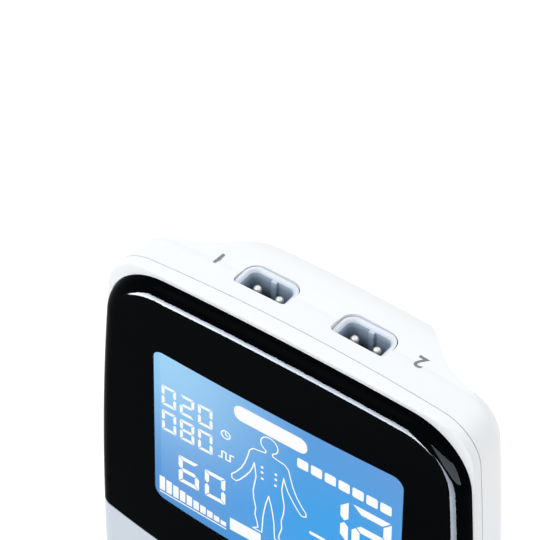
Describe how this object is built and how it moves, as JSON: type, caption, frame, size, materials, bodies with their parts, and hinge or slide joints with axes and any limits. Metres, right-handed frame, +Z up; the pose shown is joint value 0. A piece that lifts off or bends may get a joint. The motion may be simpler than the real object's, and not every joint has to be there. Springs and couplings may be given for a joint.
{
  "type": "two-channel nerve stimulator",
  "caption": "Hand-held nerve stimulator: curved case with display, sprung keys, twin lead sockets, battery door and belt clip.",
  "frame": {"origin": "middle of the foot, on the plane where the two case halves meet", "axes": "+Z up the case towards the lead sockets, -Y out of the display, +X to the right seen from the front"},
  "size_m": [0.063, 0.0265, 0.132],
  "materials": {
    "white_shell": "satin moulded ABS",
    "black_lens": "gloss black acrylic",
    "clear_window": "clear acrylic",
    "silver_plate": "silver lacquer",
    "key_caps": "moulded plastic",
    "silicone_mat": "silicone",
    "steel": "zinc plated",
    "spring_steel": "drawn wire",
    "contact_pins": "nickel plated",
    "board": "solder mask",
    "chips": "moulded epoxy",
    "display_glass": "blue display",
    "backlight": "light guide",
    "display_holder": "moulded plastic",
    "zebra_strip": "layered silicone",
    "socket_insert": "moulded plastic",
    "cell_wrap": "printed film",
    "transformer": "laminated core",
    "capacitor": "sleeved can",
    "contact_plates": "nickel plated"
  },
  "bodies": {
    "case": {"front_shell": "white_shell", "rear_shell": "white_shell", "display_lens": "black_lens", "display_window": "clear_window", "keypad_plate": "silver_plate", "keypad_mat": "silicone_mat", "snap_domes": "contact_plates", "lcd_glass": "display_glass", "lcd_backlight": "backlight", "lcd_holder": "display_holder", "zebra_strip": "zebra_strip", "main_board": "board", "controller_chip": "chips", "driver_chips": "chips", "capacitors": "capacitor", "buzzer": "chips", "lead_socket_1": "socket_insert", "lead_socket_2": "socket_insert", "socket_pins_1": "contact_pins", "socket_pins_2": "contact_pins", "output_transformer_1": "transformer", "output_transformer_2": "transformer", "battery_cell_1": "cell_wrap", "battery_cell_2": "cell_wrap", "battery_cell_3": "cell_wrap", "battery_contacts": "contact_plates", "battery_springs": "spring_steel", "clip_pin": "steel", "clip_spring": "spring_steel", "case_screws": "steel", "board_screws": "steel"},
    "menu_key": {"menu_key": "key_caps"},
    "power_key": {"power_key": "key_caps"},
    "enter_key": {"enter_key": "key_caps"},
    "channel_1_up_key": {"channel_1_up_key": "key_caps"},
    "program_up_key": {"program_up_key": "key_caps"},
    "channel_2_up_key": {"channel_2_up_key": "key_caps"},
    "channel_1_down_key": {"channel_1_down_key": "key_caps"},
    "program_down_key": {"program_down_key": "key_caps"},
    "channel_2_down_key": {"channel_2_down_key": "key_caps"},
    "battery_door": {"battery_door": "white_shell"},
    "belt_clip": {"belt_clip": "white_shell"}
  },
  "joints": [
    {"name": "menu_press", "type": "slide", "parent": "case", "child": "menu_key", "axis": [0, 1, 0], "range_m": [0, 0.0006], "stiffness_N_per_m": 600, "springref_m": -0.0004},
    {"name": "power_press", "type": "slide", "parent": "case", "child": "power_key", "axis": [0, 1, 0], "range_m": [0, 0.0006], "stiffness_N_per_m": 600, "springref_m": -0.0004},
    {"name": "enter_press", "type": "slide", "parent": "case", "child": "enter_key", "axis": [0, 1, 0], "range_m": [0, 0.0006], "stiffness_N_per_m": 600, "springref_m": -0.0004},
    {"name": "channel_1_up_press", "type": "slide", "parent": "case", "child": "channel_1_up_key", "axis": [0, 1, 0], "range_m": [0, 0.0006], "stiffness_N_per_m": 600, "springref_m": -0.0004},
    {"name": "program_up_press", "type": "slide", "parent": "case", "child": "program_up_key", "axis": [0, 1, 0], "range_m": [0, 0.0006], "stiffness_N_per_m": 600, "springref_m": -0.0004},
    {"name": "channel_2_up_press", "type": "slide", "parent": "case", "child": "channel_2_up_key", "axis": [0, 1, 0], "range_m": [0, 0.0006], "stiffness_N_per_m": 600, "springref_m": -0.0004},
    {"name": "channel_1_down_press", "type": "slide", "parent": "case", "child": "channel_1_down_key", "axis": [0, 1, 0], "range_m": [0, 0.0006], "stiffness_N_per_m": 600, "springref_m": -0.0004},
    {"name": "program_down_press", "type": "slide", "parent": "case", "child": "program_down_key", "axis": [0, 1, 0], "range_m": [0, 0.0006], "stiffness_N_per_m": 600, "springref_m": -0.0004},
    {"name": "channel_2_down_press", "type": "slide", "parent": "case", "child": "channel_2_down_key", "axis": [0, 1, 0], "range_m": [0, 0.0006], "stiffness_N_per_m": 600, "springref_m": -0.0004},
    {"name": "door_hinge", "type": "hinge", "parent": "case", "child": "battery_door", "pos_m": [0, 0.0143, 0.0585], "axis": [1, 0, 0], "range_deg": [0, 75]},
    {"name": "clip_hinge", "type": "hinge", "parent": "case", "child": "belt_clip", "pos_m": [0, 0.0172, 0.108], "axis": [1, 0, 0], "range_deg": [0, 18], "stiffness_Nm_per_rad": 0.3, "springref_deg": -11.46}
  ]
}
